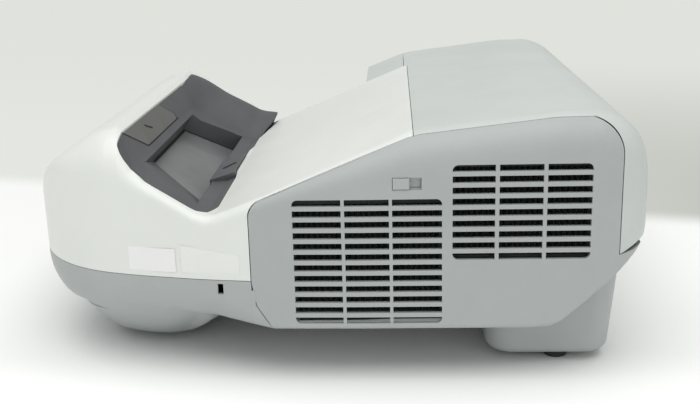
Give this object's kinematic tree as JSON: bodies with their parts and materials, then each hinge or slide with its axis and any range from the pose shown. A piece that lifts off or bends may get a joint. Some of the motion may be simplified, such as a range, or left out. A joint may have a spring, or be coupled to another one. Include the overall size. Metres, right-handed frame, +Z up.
{
  "type": "short-throw projector",
  "caption": "Short-throw projector with a front mirror dome and sunken window, hinged side filter door with grilles, low key deck, lift-off lamp cover and screw feet.",
  "frame": {"origin": "on the floor under the middle of the body", "axes": "+X to the rear end away from the mirror dome, -Y to the side with the filter door, +Z up"},
  "size_m": [0.375, 0.3678, 0.1563],
  "materials": {
    "white": "satin off-white",
    "grey": "fine matte cool grey",
    "light_grey": "fine matte light grey",
    "dark": "fine matte charcoal",
    "window": "dusty coated glass",
    "lens": "polished",
    "mirror": "polished",
    "black": "matte black",
    "filter": "folded dark fleece",
    "board": "lacquered board",
    "metal": "zinc-plated",
    "brass": "plain",
    "cast": "cast",
    "rubber": "matte",
    "ceramic": "glazed",
    "lights": "milky clear",
    "receiver": "dark red-black clear"
  },
  "bodies": {
    "chassis": {"air_filter_large": "filter", "air_filter_small": "filter", "audio_jacks": "black", "ballast_board": "board", "bottom_case": "grey", "case_screws": "metal", "concave_mirror": "mirror", "control_deck": "white", "digital_ports": "metal", "exhaust_fan_frame": "black", "filter_frame": "black", "foot_inserts": "brass", "front_cover": "white", "heat_sink": "cast", "hinge_pins": "metal", "indicator_lights": "lights", "intake_fan_frame": "black", "key_board": "board", "lamp_housing": "black", "lamp_reflector": "ceramic", "lens_barrel": "black", "lens_glass": "lens", "light_tunnel": "metal", "main_board": "board", "mirror_bracket": "cast", "mounting_inserts": "brass", "optical_block": "cast", "port_panel": "dark", "power_inlet": "black", "power_supply_board": "board", "projection_window": "window", "remote_receiver": "receiver", "sensor_panel": "dark", "speaker": "black", "top_cover": "light_grey", "vga_ports": "metal", "window_bezel": "dark"},
    "filter_cover": {"filter_cover": "grey"},
    "filter_latch": {"filter_latch": "light_grey"},
    "focus_ring": {"focus_ring": "dark"},
    "lamp_cover": {"lamp_cover": "light_grey", "lamp_cover_screw": "metal"},
    "intake_rotor": {"intake_rotor": "black"},
    "exhaust_rotor": {"exhaust_rotor": "black"},
    "down_key": {"down_key": "light_grey"},
    "enter_key": {"enter_key": "light_grey"},
    "escape_key": {"escape_key": "light_grey"},
    "help_key": {"help_key": "light_grey"},
    "left_key": {"left_key": "light_grey"},
    "menu_key": {"menu_key": "light_grey"},
    "power_key": {"power_key": "light_grey"},
    "right_key": {"right_key": "light_grey"},
    "source_key": {"source_key": "light_grey"},
    "up_key": {"up_key": "light_grey"},
    "front_foot": {"front_foot": "rubber"},
    "rear_foot_far": {"rear_foot_far": "rubber"},
    "rear_foot_near": {"rear_foot_near": "rubber"}
  },
  "joints": [
    {"name": "filter_cover_hinge", "type": "hinge", "parent": "chassis", "child": "filter_cover", "pos_m": [0, -0.1778, 0.036], "axis": [1, 0, 0], "range_deg": [0, 85]},
    {"name": "filter_latch_slide", "type": "slide", "parent": "filter_cover", "child": "filter_latch", "axis": [1, 0, 0], "range_m": [0, 0.006], "stiffness_N_per_m": 120, "springref_m": -0.004},
    {"name": "focus_lever_turn", "type": "hinge", "parent": "chassis", "child": "focus_ring", "pos_m": [-0.03, -0.041, 0.072], "axis": [1, 0, 0], "range_deg": [-8, 8]},
    {"name": "lamp_cover_lift", "type": "slide", "parent": "chassis", "child": "lamp_cover", "axis": [0, 0, 1], "range_m": [0, 0.06]},
    {"name": "intake_fan_spin", "type": "hinge", "parent": "chassis", "child": "intake_rotor", "pos_m": [0.027, -0.148, 0.077], "axis": [0, 1, 0], "continuous": true},
    {"name": "exhaust_fan_spin", "type": "hinge", "parent": "chassis", "child": "exhaust_rotor", "pos_m": [0.143, 0.1625, 0.101], "axis": [0, 1, 0], "continuous": true},
    {"name": "down_press", "type": "slide", "parent": "chassis", "child": "down_key", "axis": [0, 0, -1], "range_m": [0, 0.001], "stiffness_N_per_m": 500, "springref_m": -0.0008},
    {"name": "enter_press", "type": "slide", "parent": "chassis", "child": "enter_key", "axis": [0, 0, -1], "range_m": [0, 0.001], "stiffness_N_per_m": 500, "springref_m": -0.0008},
    {"name": "escape_press", "type": "slide", "parent": "chassis", "child": "escape_key", "axis": [0, 0, -1], "range_m": [0, 0.001], "stiffness_N_per_m": 500, "springref_m": -0.0008},
    {"name": "help_press", "type": "slide", "parent": "chassis", "child": "help_key", "axis": [0, 0, -1], "range_m": [0, 0.001], "stiffness_N_per_m": 500, "springref_m": -0.0008},
    {"name": "left_press", "type": "slide", "parent": "chassis", "child": "left_key", "axis": [0, 0, -1], "range_m": [0, 0.001], "stiffness_N_per_m": 500, "springref_m": -0.0008},
    {"name": "menu_press", "type": "slide", "parent": "chassis", "child": "menu_key", "axis": [0, 0, -1], "range_m": [0, 0.001], "stiffness_N_per_m": 500, "springref_m": -0.0008},
    {"name": "power_press", "type": "slide", "parent": "chassis", "child": "power_key", "axis": [0, 0, -1], "range_m": [0, 0.001], "stiffness_N_per_m": 500, "springref_m": -0.0008},
    {"name": "right_press", "type": "slide", "parent": "chassis", "child": "right_key", "axis": [0, 0, -1], "range_m": [0, 0.001], "stiffness_N_per_m": 500, "springref_m": -0.0008},
    {"name": "source_press", "type": "slide", "parent": "chassis", "child": "source_key", "axis": [0, 0, -1], "range_m": [0, 0.001], "stiffness_N_per_m": 500, "springref_m": -0.0008},
    {"name": "up_press", "type": "slide", "parent": "chassis", "child": "up_key", "axis": [0, 0, -1], "range_m": [0, 0.001], "stiffness_N_per_m": 500, "springref_m": -0.0008},
    {"name": "front_foot_screw", "type": "slide", "parent": "chassis", "child": "front_foot", "axis": [0, 0, -1], "range_m": [0, 0.008]},
    {"name": "rear_foot_far_screw", "type": "slide", "parent": "chassis", "child": "rear_foot_far", "axis": [0, 0, -1], "range_m": [0, 0.008]},
    {"name": "rear_foot_near_screw", "type": "slide", "parent": "chassis", "child": "rear_foot_near", "axis": [0, 0, -1], "range_m": [0, 0.008]}
  ]
}
